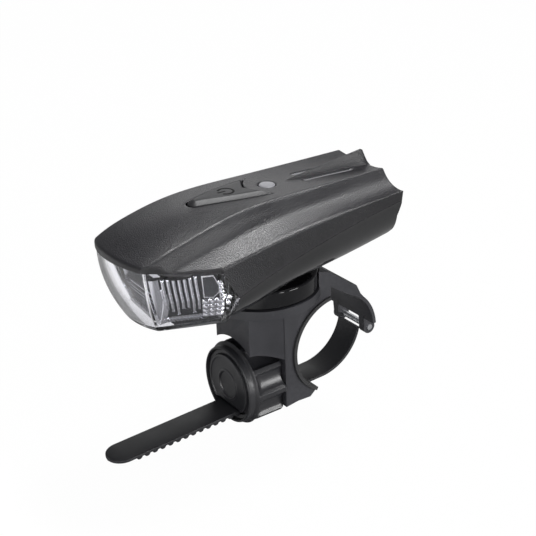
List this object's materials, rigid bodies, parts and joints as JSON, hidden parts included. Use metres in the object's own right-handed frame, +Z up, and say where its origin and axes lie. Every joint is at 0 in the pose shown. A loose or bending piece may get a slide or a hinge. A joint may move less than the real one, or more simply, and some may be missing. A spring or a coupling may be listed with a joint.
{
  "type": "bicycle headlight with handlebar strap mount",
  "caption": "Handlebar headlight with a ridged wedge casing, clear raked lens, rechargeable body, swivelling slide mount and a toothed strap drawn tight by a fluted knob.",
  "frame": {"origin": "centre of the handlebar clamp, on the handlebar's axis", "axes": "+X along the handlebar, -Y the way the beam points, +Z up"},
  "size_m": [0.044, 0.1022, 0.0812],
  "materials": {
    "shell_black": "matte, fine grain",
    "shell_gloss": "gloss",
    "clear_lens": "clear, polished",
    "mirror_plate": "vacuum-plated mirror",
    "emitter": "phosphor and clear dome",
    "board_white": "solder mask",
    "sink_aluminium": "raw",
    "cell_pouch": "foil pouch",
    "foam": "closed-cell foam",
    "board_green": "solder mask",
    "switch_body": "moulded",
    "plunger": "moulded",
    "button_rubber": "matte",
    "window_milk": "translucent, polished",
    "led_body": "clear",
    "socket_steel": "plated",
    "port_rubber": "matte",
    "gasket_rubber": "matte",
    "screw_steel": "plated",
    "lead_jacket": "insulated wire",
    "shoe_plastic": "moulded",
    "drum_plastic": "polished",
    "washer_nylon": "moulded",
    "bracket_plastic": "fine matte",
    "liner_rubber": "matte",
    "strap_rubber": "matte",
    "pin_steel": "plated",
    "knob_plastic": "satin",
    "cap_plastic": "satin"
  },
  "bodies": {
    "bracket": {"saddle": "bracket_plastic", "bar_liner": "liner_rubber", "strap": "strap_rubber", "anchor_pin": "pin_steel", "knob_cap": "cap_plastic", "pivot_screw": "screw_steel", "friction_washer": "washer_nylon"},
    "knob": {"clamp_knob": "knob_plastic"},
    "turntable": {"turntable": "drum_plastic"},
    "light": {"top_shell": "shell_black", "bottom_shell": "shell_gloss", "shell_gasket": "gasket_rubber", "lens": "clear_lens", "reflector": "mirror_plate", "led_emitter": "emitter", "led_board": "board_white", "heat_sink": "sink_aluminium", "battery_cell": "cell_pouch", "cell_foam": "foam", "circuit_board": "board_green", "tact_switch": "switch_body", "indicator_window": "window_milk", "indicator_led": "led_body", "charge_socket": "socket_steel", "battery_leads": "lead_jacket", "led_leads": "lead_jacket", "casing_screws": "screw_steel", "slide_shoe": "shoe_plastic", "shoe_screws": "screw_steel"},
    "button": {"power_button": "button_rubber", "switch_plunger": "plunger"},
    "port_cover": {"port_cover": "port_rubber"}
  },
  "joints": [
    {"name": "knob_turn", "type": "hinge", "parent": "bracket", "child": "knob", "pos_m": [0, -0.027, -0.0097], "axis": [0, 1, 0], "continuous": true},
    {"name": "swivel", "type": "hinge", "parent": "bracket", "child": "turntable", "pos_m": [0, -0.0196, 0.0215], "axis": [0, 0, 1], "range_deg": [-60, 60]},
    {"name": "light_slide", "type": "slide", "parent": "turntable", "child": "light", "axis": [0, -1, 0], "range_m": [0, 0.026]},
    {"name": "button_press", "type": "slide", "parent": "light", "child": "button", "axis": [0, 0, -1], "range_m": [0, 0.0008], "stiffness_N_per_m": 800},
    {"name": "port_cover_hinge", "type": "hinge", "parent": "light", "child": "port_cover", "pos_m": [0, 0.02203, 0.03859], "axis": [-1, 0, 0], "range_deg": [0, 90]}
  ]
}
